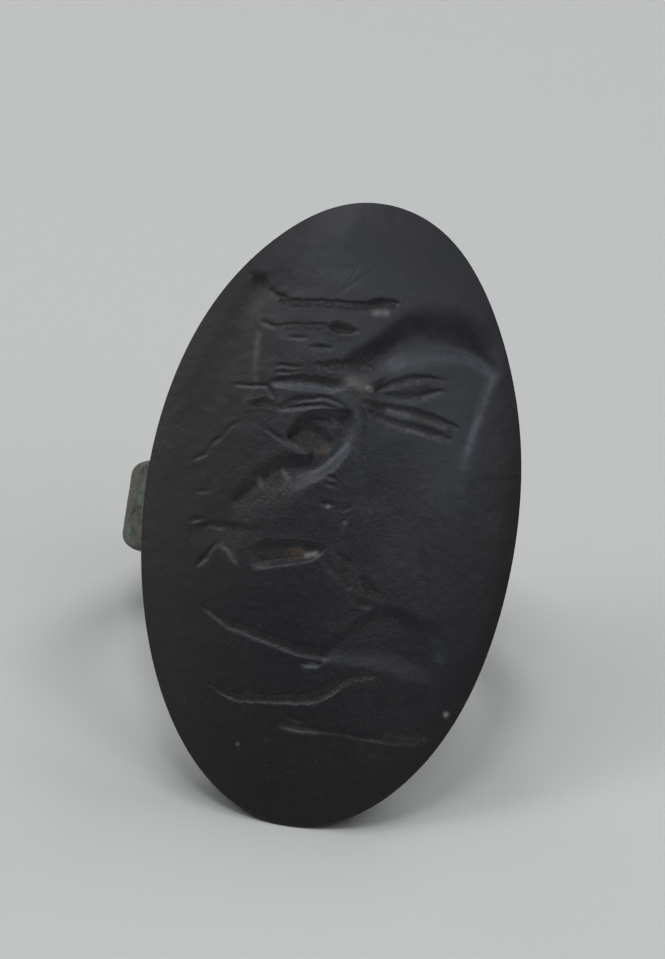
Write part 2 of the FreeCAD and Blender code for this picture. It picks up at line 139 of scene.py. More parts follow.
# Strokes of the design: how far the deepest line sits towards the lower edge, as a share of the width, and
# across, along, width and depth at each point
STROKES = {
    "foreleg": (0.25, [
        (1.45, 9.22, 0.2, 0.05), (0.82, 9.05, 0.42, 0.13), (0.15, 8.9, 0.3, 0.11),
        (-0.8, 8.88, 0.2, 0.08), (-1.8, 8.8, 0.18, 0.08), (-2.9, 8.64, 0.2, 0.07),
        (-3.5, 8.75, 0.24, 0.06), (-4, 9, 0.26, 0.03)]),
    "foreleg_pit": (0.1, [(-4.3, 9.2, 0.4, 0.05), (-4.55, 9.38, 0.6, 0.15), (-4.8, 9.5, 0.4, 0.06)]),
    "second_foreleg": (0.2, [
        (-0.14, 7.78, 0.16, 0.05), (-0.45, 7.74, 0.36, 0.16), (-0.95, 7.74, 0.5, 0.2),
        (-1.25, 7.78, 0.32, 0.1), (-1.5, 7.8, 0.16, 0.06), (-2.1, 7.72, 0.15, 0.06),
        (-2.8, 7.62, 0.17, 0.05), (-3.5, 7.5, 0.2, 0.05), (-4.1, 7.6, 0.24, 0.02)]),
    "knee_line": (0, [(-1.15, 6.9, 0.14, 0.038), (-1.55, 6.86, 0.2, 0.068), (-2, 6.83, 0.14, 0.03)]),
    "shin_line": (0, [(-2.2, 7.2, 0.12, 0.022), (-2.6, 7.16, 0.16, 0.038), (-3, 7.12, 0.12, 0.015)]),
    "jaw_shade": (-0.1, [
        (-0.1, 6.45, 0.4, 0.06), (-0.6, 6.25, 0.5, 0.12), (-1.2, 6.15, 0.4, 0.09),
        (-1.7, 6.1, 0.2, 0.02)]),
    "muzzle": (-0.1, [
        (-0.2, 5.5, 0.4, 0.04), (-0.8, 5.36, 0.6, 0.11), (-1.45, 5.36, 0.64, 0.14),
        (-2.2, 5.34, 0.6, 0.11), (-3, 5.18, 0.5, 0.07), (-3.4, 5.1, 0.3, 0.02)]),
    "muzzle_line_1": (0, [(-2.1, 5.94, 0.1, 0.022), (-2.7, 5.9, 0.16, 0.06), (-3.3, 5.82, 0.14, 0.022)]),
    "muzzle_line_2": (0, [(-2.2, 5.74, 0.1, 0.022), (-2.7, 5.64, 0.16, 0.06), (-3.25, 5.52, 0.12, 0.022)]),
    "muzzle_line_3": (0, [(-2.2, 5.45, 0.1, 0.022), (-2.7, 5.4, 0.14, 0.045), (-3.2, 5.3, 0.12, 0.015)]),
    "mane_1": (-0.24, [
        (4.1, 6.34, 0.2, 0.01), (3.5, 6.3, 0.3, 0.03), (2.8, 6.22, 0.42, 0.07), (2.3, 6.1, 0.42, 0.1),
        (1.77, 5.85, 0.34, 0.1), (1.31, 5.58, 0.26, 0.07), (1.05, 5.42, 0.16, 0.03)]),
    "mane_2": (-0.24, [
        (4, 5.86, 0.2, 0.02), (3.4, 5.66, 0.36, 0.06), (2.8, 5.46, 0.5, 0.1), (2.2, 5.34, 0.5, 0.11),
        (1.7, 5.3, 0.36, 0.07), (1.35, 5.28, 0.2, 0.02)]),
    "mane_3": (-0.3, [
        (4.75, 4.38, 0.2, 0.03), (4.12, 4.5, 0.36, 0.08), (3.38, 4.68, 0.46, 0.12),
        (2.64, 4.76, 0.5, 0.13), (1.92, 4.78, 0.5, 0.14), (1.2, 4.8, 0.4, 0.12),
        (0.7, 4.82, 0.25, 0.06)]),
    "mane_4": (-0.3, [
        (4.5, 3.84, 0.2, 0.03), (4.1, 3.94, 0.36, 0.08), (3.47, 4.05, 0.42, 0.09),
        (2.9, 4.14, 0.36, 0.06), (2.44, 4.18, 0.42, 0.1), (1.7, 4.3, 0.4, 0.1), (1, 4.42, 0.22, 0.05)]),
    "calf_brow": (0, [
        (-1.94, 3.62, 0.14, 0.03), (-1.6, 3.9, 0.2, 0.06), (-1.14, 4.06, 0.22, 0.08),
        (-0.55, 4, 0.22, 0.08), (-0.21, 3.65, 0.2, 0.06), (-0.05, 3.2, 0.16, 0.02)]),
    "belly_line": (0, [
        (0.5, 4.9, 0.3, 0.01), (0.54, 4.3, 0.5, 0.035), (0.6, 3.5, 0.6, 0.035), (0.7, 2.7, 0.6, 0.02),
        (0.8, 1.9, 0.5, 0.01)]),
    "notch": (0, [
        (-1.5, 2.24, 0.1, 0.02), (-2.2, 2.5, 0.16, 0.045), (-2.83, 2.8, 0.16, 0.045),
        (-3.43, 3.06, 0.1, 0.02)]),
    "tongue_1": (0, [(-1.7, 4.72, 0.12, 0.013), (-2.2, 4.55, 0.18, 0.038), (-2.75, 4.28, 0.14, 0.017)]),
    "tongue_2": (0, [
        (-0.15, 4.47, 0.14, 0.017), (-0.64, 4.7, 0.2, 0.042), (-1.23, 4.71, 0.2, 0.046),
        (-1.81, 4.56, 0.2, 0.042), (-2.4, 4.32, 0.2, 0.034), (-2.9, 4.12, 0.18, 0.021)]),
    "tongue_3": (0, [
        (-0.5, 4.36, 0.14, 0.013), (-1.1, 4.4, 0.22, 0.042), (-1.8, 4.26, 0.26, 0.05),
        (-2.45, 4.12, 0.24, 0.042), (-3, 3.98, 0.2, 0.025)]),
    "tongue_tip": (0, [
        (-2.9, 4.05, 0.22, 0.056), (-3.4, 4.18, 0.32, 0.105), (-3.95, 4.08, 0.34, 0.126),
        (-4.25, 4.02, 0.2, 0.035)]),
    "chin_line": (0, [
        (-3.1, 4.3, 0.16, 0.029), (-3.35, 4.62, 0.2, 0.048), (-3.6, 4.88, 0.16, 0.043),
        (-4.2, 4.84, 0.16, 0.043), (-4.9, 4.78, 0.14, 0.024)]),
    "calf_foreleg": (0, [
        (-4.5, 3.25, 0.15, 0.009), (-4.85, 2.95, 0.2, 0.023), (-5.1, 2.6, 0.2, 0.013),
        (-5.45, 2.25, 0.22, 0.027), (-5.6, 2, 0.16, 0.009), (-5.85, 1.6, 0.22, 0.027),
        (-6.15, 1.45, 0.22, 0.023), (-6.3, 1.3, 0.16, 0.009)]),
    "calf_mark_1": (0, [(-5.3, 0.08, 0.14, 0.008), (-5.65, 0.06, 0.24, 0.019), (-6, 0.02, 0.16, 0.008)]),
    "calf_mark_2": (0, [(-5.55, -1.1, 0.2, 0.014), (-5.76, -1.2, 0.34, 0.032), (-5.95, -1.3, 0.2, 0.011)]),
    "calf_edge": (0, [(-4.4, -1.25, 0.2, 0.024), (-4.75, -1.33, 0.26, 0.048), (-5.15, -1.3, 0.22, 0.036)]),
    "calf_shank": (0, [
        (-3.6, -2.85, 0.16, 0.017), (-3.95, -2.62, 0.21, 0.039), (-4.2, -2.3, 0.24, 0.045),
        (-4.55, -2.05, 0.2, 0.022)]),
    "calf_hoof": (0, [
        (-4.75, -2.05, 0.16, 0.03), (-4.98, -2.4, 0.21, 0.042), (-5.2, -2.8, 0.29, 0.058),
        (-5.42, -3.1, 0.24, 0.034)]),
    "calf_sole": (0, [(-5.85, -1.7, 0.16, 0.015), (-5.9, -2.3, 0.16, 0.02), (-5.72, -2.9, 0.16, 0.02)]),
    "udder_1": (0.1, [
        (2.6, -3.4, 0.25, 0.04), (2.15, -3.2, 0.5, 0.16), (1.8, -2.95, 0.5, 0.144),
        (1.55, -2.75, 0.3, 0.04)]),
    "udder_2": (0.1, [(2.1, -3.85, 0.25, 0.048), (1.7, -3.75, 0.4, 0.128), (1.3, -3.55, 0.3, 0.048)]),
    "udder_3": (0, [
        (1.1, -3.1, 0.3, 0.064), (0.85, -2.6, 0.45, 0.096), (0.75, -2.1, 0.4, 0.064),
        (0.4, -1.8, 0.3, 0.024)]),
    "udder_4": (0, [(0.5, -2.7, 0.2, 0.04), (0.2, -2.45, 0.3, 0.08), (-0.05, -2.1, 0.25, 0.048)]),
    "teat_1": (0, [(0.6, -0.1, 0.2, 0.024), (0.45, -0.5, 0.26, 0.048), (0.4, -0.85, 0.18, 0.019)]),
    "teat_2": (0, [(0.65, 0.3, 0.2, 0.019), (0.5, 0.15, 0.3, 0.038), (0.35, 0.1, 0.18, 0.014)]),
    "teat_3": (0, [(-0.15, 0.25, 0.2, 0.04), (-0.35, 0.22, 0.26, 0.096), (-0.5, 0.2, 0.2, 0.04)]),
    "teat_4": (0, [(-0.1, 1.05, 0.12, 0.024), (-0.45, 1.08, 0.16, 0.048)]),
    "teat_5": (0, [(-0.15, 1.35, 0.12, 0.024), (-0.5, 1.42, 0.16, 0.048)]),
    "hind_leg": (0.3, [
        (0.5, -6.3, 0.3, 0.03), (0, -6.22, 0.46, 0.1), (-0.6, -6.18, 0.42, 0.12),
        (-1.5, -5.98, 0.38, 0.12), (-2.4, -5.77, 0.36, 0.12), (-3.2, -5.58, 0.36, 0.11),
        (-3.8, -5.46, 0.34, 0.11), (-4.3, -5.2, 0.28, 0.08), (-4.8, -4.92, 0.18, 0.03),
        (-5.15, -4.74, 0.12, 0.01)]),
    "hock": (0, [
        (0.35, -6.5, 0.15, 0.04), (0.1, -6.6, 0.22, 0.1), (-0.2, -6.68, 0.24, 0.1),
        (-0.45, -6.62, 0.14, 0.03)]),
    "far_hind_leg": (0.26, [
        (2.7, -6.75, 0.2, 0.03), (2.3, -6.8, 0.4, 0.12), (1.8, -6.92, 0.46, 0.14),
        (1.3, -7.3, 0.5, 0.14), (0.9, -7.7, 0.56, 0.15), (0.4, -8.02, 0.5, 0.15),
        (-0.3, -8.22, 0.38, 0.13), (-1, -8.3, 0.34, 0.12), (-2.2, -8.44, 0.32, 0.11),
        (-3, -8.5, 0.3, 0.09), (-3.6, -8.36, 0.22, 0.04), (-4.2, -8, 0.14, 0.01)]),
    "tail": (0.1, [
        (5.5, -9.05, 0.2, 0.02), (4.9, -9.18, 0.34, 0.05), (4.1, -9.32, 0.34, 0.05),
        (3.1, -9.38, 0.2, 0.04), (2, -9.32, 0.14, 0.025), (1, -9.32, 0.16, 0.035),
        (0.2, -9.4, 0.2, 0.05), (-0.4, -9.42, 0.24, 0.06), (-0.8, -9.36, 0.2, 0.03)]),
    "tail_shade": (0, [(0.1, -9.1, 0.2, 0.01), (-0.4, -9, 0.3, 0.025), (-0.9, -8.95, 0.2, 0.01)]),
    "scratch_1": (0, [(-0.35, 10.7, 0.12, 0.008), (-0.95, 9.45, 0.12, 0.012)]),
    "scratch_2": (0, [(0.75, 11.1, 0.12, 0.006), (-0.85, 9.5, 0.12, 0.012)]),
}

# Raised spots: across, along, half across, half along and height
KNOBS = [(0.2, 5.44, 0.7, 0.42, 0.11), (0.7, 5.4, 0.2, 0.16, 0.05), (-4.2, 6.1, 0.14, 1.15, 0.03)]

# Other matter on the metal and painted highlights, by kind: how far it reaches from its line, how strong it
# is, and the points
STAINS = {
    "rust": [
        (0.12, 0.6, [(-0.66, 7.56)]),
        (0.4, 0.1, [(-1.4, 3.1)]),
        (0.26, 0.55, [(-0.82, 2.6)]),
        (0.1, 1, [(-0.37, 0.2)]),
        (0.12, 0.3, [(-5.1, -1.4), (-4.6, -1.4)]),
        (0.3, 0.8, [(-1.3, -1.95)]),
        (0.12, 0.2, [(-4.7, -4.9), (-4.4, -5.2)]),
        (0.1, 0.2, [(-0.8, -8.1), (0, -8)]),
        (0.12, 0.15, [(4.2, -9.2), (4.8, -9.1)]),
    ],
    "green": [
        (0.3, 0.15, [(5.1, -4.95)]),
        (0.24, 0.6, [(5.4, -5.5)]),
    ],
    # Pale grit, and a few painted glints and highlights marked below
    "pale": [
        (0.4, 0.15, [(-4.3, 8.75), (-4.6, 8)]),
        (0.14, 0.6, [(0.55, 8.7), (1.05, 8.78)]),
        (0.3, 0.1, [(-4.74, 7.43)]),
        (0.13, 0.2, [(-4.28, 7.1), (-4.2, 6.1), (-4.12, 5.1)]),
        (0.4, 0.45, [(0, 5.48), (0.4, 5.42)]),
        # Painted highlight on the knob's right end
        (0.13, 1.1, [(0.66, 5.42), (0.8, 5.38)]),
        (0.11, 0.5, [(1.7, 4.62), (2.6, 4.53)]),
        (0.1, 0.22, [(2.6, 4.53), (3.27, 4.46), (4.2, 4.24)]),
        (0.1, 0.18, [(1.3, 4.16), (2.4, 3.95)]),
        (0.1, 0.34, [(2.6, 3.92), (3.3, 3.84)]),
        (0.1, 0.16, [(3.3, 3.84), (4, 3.74)]),
        (0.1, 0.12, [(-2.5, 2.7), (-1.7, 2.4)]),
        (0.1, 0.4, [(-2.4, 1.4), (-2.15, 1.1)]),
        (0.1, 0.3, [(-3.35, 0.9), (-3.2, 0.6)]),
        # Painted glint: a white dot on the rust spot
        (0.05, 1.4, [(-0.3, 0.16)]),
        (0.1, 0.4, [(0.5, -0.45)]),
        # Painted glint in the thigh slot
        (0.12, 0.9, [(-0.9, -2.02), (-0.5, -1.92)]),
        (0.14, 0.2, [(-4.5, -2.05), (-4.1, -2.4), (-3.85, -2.7)]),
        (0.1, 1.6, [(6, -7.86)]),
        (0.14, 0.12, [(-0.9, -9.4), (0.6, -9.45)]),
        (0.07, 0.7, [(-2.64, -10.38)]),
    ],
    # Painted highlights: a lighter bluish colour laid along the walls, crests and lines that catch the
    # light
    "painted_highlight": [
        (0.08, 0.9, [(-0.3, -6.72), (0.05, -6.6)]),
        (0.9, 0.1, [(-2.2, 10.9), (-1.2, 10.2)]),
        (0.24, 0.75, [(4.7, 7.38), (5.3, 7.2), (5.8, 6.9), (5.98, 6.77)]),
        (0.3, 0.5, [(3.9, 7.3), (4.7, 7.38)]),
        (0.25, 0.4, [(5.98, 6.77), (5.77, 6.16), (5.64, 5.5), (5.54, 4.7)]),
        (0.36, 0.46, [(1.9, 6.4), (3, 7), (3.9, 7.3)]),
        (0.8, 0.2, [(2.2, 6.1), (2.2, 4.4)]),
        (0.7, 0.08, [(-1.5, 7.2), (-0.3, 7.1)]),
        (0.45, 0.15, [(-1.2, 4.55), (-0.4, 4.6)]),
        (0.1, 0.5, [(3.14, 5.4), (3.81, 5.7)]),
        (1.1, 0.15, [(4.5, 5.2), (4.5, 3), (4.3, 1.9)]),
        (0.11, 1, [(-2.2, 5.17), (-1.43, 5.17), (-0.93, 5.13)]),
        (0.25, 0.4, [(-0.9, 5.1), (-0.2, 4.9), (0.25, 4.6)]),
        (0.12, 0.5, [(2, 5.1), (2.45, 5.16)]),
        (0.16, 0.9, [(5.6, 5), (5.54, 4.7), (5.38, 3.9)]),
        (0.12, 0.6, [(-3.2, 5), (-2.2, 5.17)]),
        (0.2, 0.35, [(0.3, 4.5), (0.4, 3.9), (0.3, 3.2)]),
        (0.2, 0.65, [(5.38, 3.9), (5.3, 3.3)]),
        (0.26, 0.4, [(5.3, 3.3), (5.26, 2.7)]),
        (0.09, 1, [(0.14, 2.91), (-0.18, 2.43), (-0.56, 2.02)]),
        (0.32, 0.2, [(5.26, 2.7), (5.24, 1.8)]),
        (0.12, 0.4, [(-0.56, 2.02), (-1.17, 1.28)]),
        (0.06, 0.4, [(-3.8, -5.62), (-2.4, -5.93), (-0.6, -6.34)]),
        (0.08, 1, [(-0.1, -6.68), (0.1, -6.6)]),
    ],
    "earth": [
        (0.3, 0.8, [(-4.4, 9.3), (-4.7, 9.4)]),
        (0.5, 0.3, [(-4.6, 9.3), (-4.9, 8.2)]),
        (0.08, 1, [(1.3, 9.14), (0.15, 8.86), (-1.8, 8.76)]),
        (0.08, 0.9, [(-1.8, 8.76), (-2.9, 8.6), (-3.5, 8.7)]),
        (0.07, 0.7, [(-1.5, 7.78), (-2.8, 7.6), (-3.5, 7.48)]),
        (0.3, 0.8, [(-1.2, 7.74), (-0.6, 7.74)]),
        (0.5, 0.8, [(-0.4, 6.3), (0.5, 6.5)]),
        (0.7, 0.35, [(-0.2, 6.2)]),
        (0.7, 0.5, [(-2, 6), (-1, 6)]),
        (0.6, 0.55, [(0.1, 5.5), (0.6, 5.4)]),
        (0.2, 0.8, [(2, 5.5), (3.2, 5.9)]),
        (0.16, 0.8, [(0.9, 4.66), (2, 4.7), (3.4, 4.6)]),
        (0.15, 0.6, [(1.2, 4.64), (2.1, 4.56), (4.4, 4.2)]),
        (0.14, 0.8, [(1.2, 4.3), (2.4, 4.1), (3.6, 3.96)]),
        (0.25, 0.8, [(-4.2, 4.05), (-3.1, 4.1)]),
        (0.25, 0.5, [(-0.3, 3.5)]),
        (0.6, 0.8, [(-1.9, 2.9), (-1.1, 2.8)]),
        (0.9, 0.55, [(1.9, 1.3)]),
        (0.9, 0.5, [(-2.6, 1.2)]),
        (0.6, 0.5, [(-2.2, 0.4), (-3.2, 0.4)]),
        (0.5, 0.5, [(0.45, -0.2)]),
        (0.8, 0.5, [(1.9, -0.3)]),
        (0.5, 0.4, [(-4, -1.6)]),
        (0.45, 0.6, [(0.2, -2.1), (1.2, -3.1)]),
        (0.5, 0.9, [(-2.7, -2.2), (-1.2, -2)]),
        (0.6, 0.7, [(1.5, -3.5), (2.2, -3.1)]),
        (0.8, 0.45, [(1.2, -5.2), (2.8, -4.6)]),
        (0.1, 0.8, [(-3.6, -5.4), (-0.6, -6.1)]),
        (0.4, 0.6, [(1.6, -7), (2.3, -6.8)]),
        (0.12, 0.8, [(-3, -8.42), (-0.3, -8.14), (0.6, -7.9)]),
        (0.14, 1, [(3.6, -9.3), (5.2, -9.1)]),
    ],
}

# The raster that the design is worked out on
GRID = 0.04
MARGIN = 0.5  # past the oval on each side
RASTER_X = np.arange(-HALF_WIDTH - MARGIN, HALF_WIDTH + MARGIN, GRID)
RASTER_Z = np.arange(-HALF_LENGTH - MARGIN, HALF_LENGTH + MARGIN, GRID)

# How the cuts are shaped
BLEND = 3.0  # how sharply hollows that overlap meet
CURVE_SWING = 0.1  # how far a curve may swing past its points
CRISP_WALL = 0.25  # a wall this narrow has crisp edges
SOFT_WALL = 2 / 3  # and one this wide has soft ones
NARROWEST = 0.05  # least width of a wall or a stroke
WIDEST_HALF_STROKE = 0.8
STROKE_FULLNESS = 1.4
DROP_STEEPNESS = 1.5
KNOB_ROUNDNESS = 1.5
HOLLOW_SOFTNESS = 0.03
STROKE_SOFTNESS = 0.025

# How the strokes stray from their lines, and what lies in them and on the face
WANDER = 0.05
WANDER_GRAIN = 0.36
EARTH_DEPTH = 0.04  # a stroke deeper than this holds earth
EARTH_SOFTNESS = 0.05
EARTH_GAIN = 12  # how soon a deeper stroke is full of it
EARTH_RELIEF = 0.02
SURFACE_SWELL = 0.013


def fade(value, start, end):
    """Runs evenly from 0 at the start to 1 at the end, and stays there."""
    return np.clip((value - start) / (end - start), 0, 1)


def eased(share):
    """A share from 0 to 1 with soft ends."""
    return share * share * (3 - 2 * share)


def curve(points, closed=False, steps=6):
    """Points of a smooth curve through the given ones, all of their values carried along."""
    p = np.array(points, float)
    open_ends = [2 * p[0] - p[1], p, 2 * p[-1] - p[-2]]
    ends = np.vstack([p[-1], p, p[0], p[1]] if closed else open_ends)
    t = np.linspace(0, 1, steps, endpoint=False)[:, None]
    parts = []
    for a, b, c, d in zip(ends, ends[1:], ends[2:], ends[3:]):
        bend = 2 * a - 5 * b + 4 * c - d
        parts.append(0.5 * (2 * b + (c - a) * t + bend * t**2 + (3 * b - a - 3 * c + d) * t**3))
    return np.vstack(parts + [ends[-2:-1]])


def beside(x, z, line):
    """For each place, how far it lies from a line, on which sides, and the line's further values there."""
    best = np.full(x.shape, np.inf)
    left = np.ones(x.shape)
    over = np.ones(x.shape)
    values = np.zeros(x.shape + (line.shape[1] - 2,))
    for a, b in zip(line, line[1:]):
        run_x, run_z = b[:2] - a[:2]
        length = max(run_x**2 + run_z**2, 1e-12)
        share = np.clip(((x - a[0]) * run_x + (z - a[1]) * run_z) / length, 0, 1)
        distance = np.hypot(x - a[0] - share * run_x, z - a[1] - share * run_z)
        nearer = distance < best
        best = np.where(nearer, distance, best)
        turn = np.sign(run_x * (z - a[1]) - run_z * (x - a[0]))
        left = np.where(nearer, turn, left)
        over = np.where(nearer, turn * np.sign(run_x), over)
        values = np.where(nearer[..., None], a[2:] + share[..., None] * (b[2:] - a[2:]), values)
    return best, left, over, values


def inside(x, z, line):
    """Which places lie inside a closed line."""
    odd = np.zeros(x.shape, bool)
    for a, b in zip(line, line[1:]):
        if a[1] != b[1]:
            crosses = (a[1] > z) != (b[1] > z)
            odd ^= crosses & (x < a[0] + (z - a[1]) / (b[1] - a[1]) * (b[0] - a[0]))
    return odd


def softened(field, radius):
    """The raster smoothed over this many millimetres."""
    across = np.fft.fftfreq(field.shape[0], GRID)[:, None]
    along = np.fft.rfftfreq(field.shape[1], GRID)[None]
    weight = np.exp(-2 * (math.pi * radius) ** 2 * (across**2 + along**2))
    return np.fft.irfft2(np.fft.rfft2(field) * weight, field.shape)


def window(points, margin):
    """The part of the raster round some points."""
    p = np.array(points)[:, :2]
    low, high = p.min(0) - margin, p.max(0) + margin
    rows = np.nonzero((RASTER_X >= low[0]) & (RASTER_X <= high[0]))[0]
    columns = np.nonzero((RASTER_Z >= low[1]) & (RASTER_Z <= high[1]))[0]
    part = np.s_[rows[0] : rows[-1] + 1, columns[0] : columns[-1] + 1]
    x, z = np.meshgrid(RASTER_X[part[0]], RASTER_Z[part[1]], indexing="ij")
    return part, x, z


def hollow_raster(depth, soft, points):
    """One hollow: its walls slope in to a level floor, with a crisp edge where they are narrow."""
    field = np.zeros((len(RASTER_X), len(RASTER_Z)))
    part, x, z = window(points, CURVE_SWING)
    line = curve(points, closed=True)
    lowest = np.ones(x.shape)
    for a, b in zip(line, line[1:]):
        distance, _, _, values = beside(x, z, np.stack([a, b]))
        width = np.maximum(values[..., 0], NARROWEST)
        t = np.clip(distance / width, 0, 1)
        crisp = fade(width, SOFT_WALL, CRISP_WALL)
        lowest = np.minimum(lowest, crisp * t * (2 - t) + (1 - crisp) * eased(t))
    field[part] = np.where(inside(x, z, line), depth * lowest, 0)
    return softened(field, soft)


def scarp_raster(soft, drop, points):
    """One edge that drops on its low side and rises again slowly."""
    field = np.zeros((len(RASTER_X), len(RASTER_Z)))
    part, x, z = window(points, max(p[2] for p in points))
    distance, left, _, values = beside(x, z, curve(points))
    fall = 1 - np.exp(-((distance / drop * DROP_STEEPNESS) ** 2))
    rise = fade(distance, np.maximum(values[..., 0], NARROWEST), 0)
    field[part] = np.where(left > 0, values[..., 1] * fall * eased(rise), 0)
    return softened(field, soft)


def stroke_raster(lean, points):
    """One stroke of the graver, deepest along its line, which may run nearer to its lower edge."""
    field = np.zeros((len(RASTER_X), len(RASTER_Z)))
    part, x, z = window(points, WIDEST_HALF_STROKE)
    distance, _, over, values = beside(x, z, curve(points))
    reach = np.maximum(values[..., 0], NARROWEST) * (0.5 + lean * over)
    t = np.clip(distance / reach, 0, 1)
    field[part] = np.maximum(values[..., 1], 0) * (1 - t**STROKE_FULLNESS)
    return field


def carve():
    """The depth of the hollows and of the strokes, and where the strokes are deep enough to hold earth."""
    hollows = np.zeros((len(RASTER_X), len(RASTER_Z)))
    for depth, soft, points in HOLLOWS.values():
        hollows += np.maximum(hollow_raster(depth, soft, points), 0) ** BLEND
    for soft, drop, points in SCARPS.values():
        hollows += np.maximum(scarp_raster(soft, drop, points), 0) ** BLEND
    hollows = hollows ** (1 / BLEND)
    strokes = np.zeros_like(hollows)
    for lean, points in STROKES.values():
        strokes = np.maximum(strokes, stroke_raster(lean, points))
    for across, along, half_across, half_along, height in KNOBS:
        from_x = (RASTER_X[:, None] - across) / half_across
        from_z = (RASTER_Z[None] - along) / half_along
        hollows -= height * np.clip(1 - from_x**2 - from_z**2, 0, 1) ** KNOB_ROUNDNESS
    tight = softened(np.maximum(strokes - EARTH_DEPTH, 0), EARTH_SOFTNESS)
    return softened(hollows, HOLLOW_SOFTNESS), softened(strokes, STROKE_SOFTNESS), tight


def sampled(field, x, z):
    """A raster read at any places on the face."""
    past_last = 1.001  # leaves a next cell to read
    i = np.clip((x - RASTER_X[0]) / GRID, 0, len(RASTER_X) - past_last)
    j = np.clip((z - RASTER_Z[0]) / GRID, 0, len(RASTER_Z) - past_last)
    i0, j0 = i.astype(int), j.astype(int)
    fi, fj = i - i0, j - j0
    near = field[i0, j0] * (1 - fj) + field[i0, j0 + 1] * fj
    far = field[i0 + 1, j0] * (1 - fj) + field[i0 + 1, j0 + 1] * fj
    return near * (1 - fi) + far * fi


def roughness_of(places, size, octaves=3):
    """Smooth noise of this grain at some places, about -1 to 1. Shifted places give another pattern."""
    scaled = np.asarray(places) / size
    return np.array([noise.fractal(Vector(p), 0.6, 2.0, octaves) for p in scaled])


def make_mesh(name, places, faces, attributes=None):
    """A smooth mesh object from places about the bore, with nothing of it under the table."""
    world = np.asarray(places) @ np.array(TO_WORLD).T + np.array(BORE_PLACE)
    world[:, 2] = np.maximum(world[:, 2], 0.0)
    mesh = bpy.data.meshes.new(name)
    mesh.from_pydata(world.tolist(), [], faces)
    mesh.update()
    shape = bmesh.new()
    shape.from_mesh(mesh)
    bmesh.ops.recalc_face_normals(shape, faces=shape.faces)
    shape.to_mesh(mesh)
    shape.free()
    mesh.shade_smooth()
    for key, values in (attributes or {}).items():
        layer = mesh.attributes.new(key, "FLOAT", "POINT")
        layer.data.foreach_set("value", np.asarray(values, np.float32))
    piece = bpy.data.objects.new(name, mesh)
    bpy.context.scene.collection.objects.link(piece)
    return piece


def outline_scale(angle):
    """How far the worn outline stands out of the oval, as a share, at each angle round the bezel."""
    share = np.ones_like(angle)
    for degrees, spread, reach in OUTLINE_WEAR:
        turn = (np.degrees(angle) - degrees + 180) % 360 - 180
        share += reach / HALF_WIDTH * np.exp(-((turn / spread) ** 2))
    return share


def face_depth(across, along, share):
    """Depth of the uncut face behind the widest line, from the dome, the bevel and the rounded rim."""
    reach = SLACK_RADIUS - TIGHT_RADIUS + np.sqrt(np.maximum(TIGHT_RADIUS**2 - across**2, 0))
    dome = SLACK_RADIUS - FACE_CROWN - np.sqrt(reach**2 - along**2)
    from_rim = (1 - share) * HALF_WIDTH
    bevel = -RIM_BAND / 2 - (BEVEL_HEIGHT - RIM_BAND / 2) / BEVEL_WIDTH * from_rim
    return CREASE_ROUNDING * np.log(np.exp(dome / CREASE_ROUNDING) + np.exp(bevel / CREASE_ROUNDING))


# Mesh of the face
FACE_COLUMNS = 206
FACE_ROWS = 352
INNER_SHARE = 0.925  # the even grid's part of the oval
RINGS = [0.935, 0.945, 0.955, 0.965, 0.975, 0.984, 0.991, 0.996, 1.0]
SIDE_RINGS = [(1.0, RIM_BAND / 2), (0.994, 0.14), (0.965, 0.6), (0.93, 1.1)]  # share of the rim, and depth
BACK_RINGS = [(share, PLATE_DEPTH) for share in (1 - PLATE_TAPER / HALF_WIDTH, 0.6, 0.25)]


def ring_faces(inner, outer):
    """The band of faces between two closed rows of points, facing out of the face's front."""
    size = len(inner)
    return [(inner[k], outer[k], outer[(k + 1) % size], inner[(k + 1) % size]) for k in range(size)]


def face_grid():
    """Places on a disc of radius 1, the faces between them, and the row of points on its edge."""
    columns = np.linspace(-1, 1, FACE_COLUMNS + 1)
    u, v = np.meshgrid(columns, np.linspace(-1, 1, FACE_ROWS + 1), indexing="ij")
    disc_x = (u * np.sqrt(1 - v**2 / 2)).ravel() * INNER_SHARE
    disc_z = (v * np.sqrt(1 - u**2 / 2)).ravel() * INNER_SHARE
    rows = FACE_ROWS + 1
    faces = []
    for i in range(FACE_COLUMNS):
        for j in range(FACE_ROWS):
            a = i * rows + j
            faces.append((a, a + rows, a + rows + 1, a + 1))
    last = FACE_COLUMNS * rows
    edge = [i * rows for i in range(FACE_COLUMNS)]
    edge += [last + j for j in range(FACE_ROWS)]
    edge += [last + FACE_ROWS - i * rows for i in range(FACE_COLUMNS)]
    edge += [FACE_ROWS - j for j in range(FACE_ROWS)]
    round_x, round_z = disc_x[edge] / INNER_SHARE, disc_z[edge] / INNER_SHARE
    for share in RINGS:
        following = list(range(len(disc_x), len(disc_x) + len(edge)))
        disc_x = np.append(disc_x, round_x * share)
        disc_z = np.append(disc_z, round_z * share)
        faces += ring_faces(edge, following)
        edge = following
    return disc_x, disc_z, faces, edge


def face_matter(x, z, tight):
    """How strongly each kind of other matter and of painted highlight covers the metal, at some places on
    the face.
    """
    matter = {}
    for kind, places in STAINS.items():
        matter[kind] = np.zeros(len(x))
        for reach, strength, points in places:
            distance = beside(x, z, np.array(points + points[-1:], float))[0]
            matter[kind] = np.maximum(matter[kind], strength * np.exp(-((distance / reach) ** 2)))
    matter["earth"] = np.clip(matter["earth"] + EARTH_GAIN * tight, 0, 1)
    return matter


def face_zones(x, z, share):
    """Where the patina is bluish, where painted shade dims the reflections of the upper rim, more on its
    left, and where it is gritty.
    """
    side = np.abs(x)
    return {
        "blue": fade(x, -7, -1) * fade(side, 8.5, 6) * np.maximum(fade(z, -15, -5), 0.2),
        # painted shade: the upper rim, stronger on the left
        "painted_rim_shade": fade(share, 0.75, 0.9) * np.maximum(fade(x, 0, -3), 0.4) * fade(z, -2, 9),
        "gritty": fade(z, 8, 3) * np.maximum(fade(side, 6, 3), 0.2),
    }


